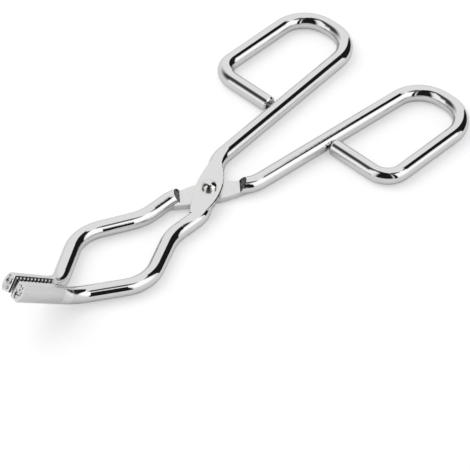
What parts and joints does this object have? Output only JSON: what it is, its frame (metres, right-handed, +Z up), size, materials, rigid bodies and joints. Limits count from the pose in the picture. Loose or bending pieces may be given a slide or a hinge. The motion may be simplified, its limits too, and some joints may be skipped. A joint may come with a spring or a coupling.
{
  "type": "crucible tongs",
  "caption": "Scissor-type crucible tongs bent from round rod, with finger loops, bowed reach and upturned serrated jaws.",
  "frame": {"origin": "on the bench that the tongs lie on, below the middle of their length, on the middle line between the two halves", "axes": "+X along the tongs towards the finger loops, +Z up along the pivot axis, away from the bench"},
  "size_m": [0.1974, 0.0876, 0.0265],
  "materials": {
    "plated_rod": "polished bright plating on steel, with satin forged flats at the pivot and the jaws",
    "rivet": "polished domed head"
  },
  "bodies": {
    "lower_half": {"lower_half": "plated_rod", "pivot_rivet": "rivet"},
    "upper_half": {"upper_half": "plated_rod"}
  },
  "joints": [
    {"name": "pivot", "type": "hinge", "parent": "lower_half", "child": "upper_half", "pos_m": [0.0003, 0, 0.003], "axis": [0, 0, 1], "range_deg": [-1, 60]}
  ]
}
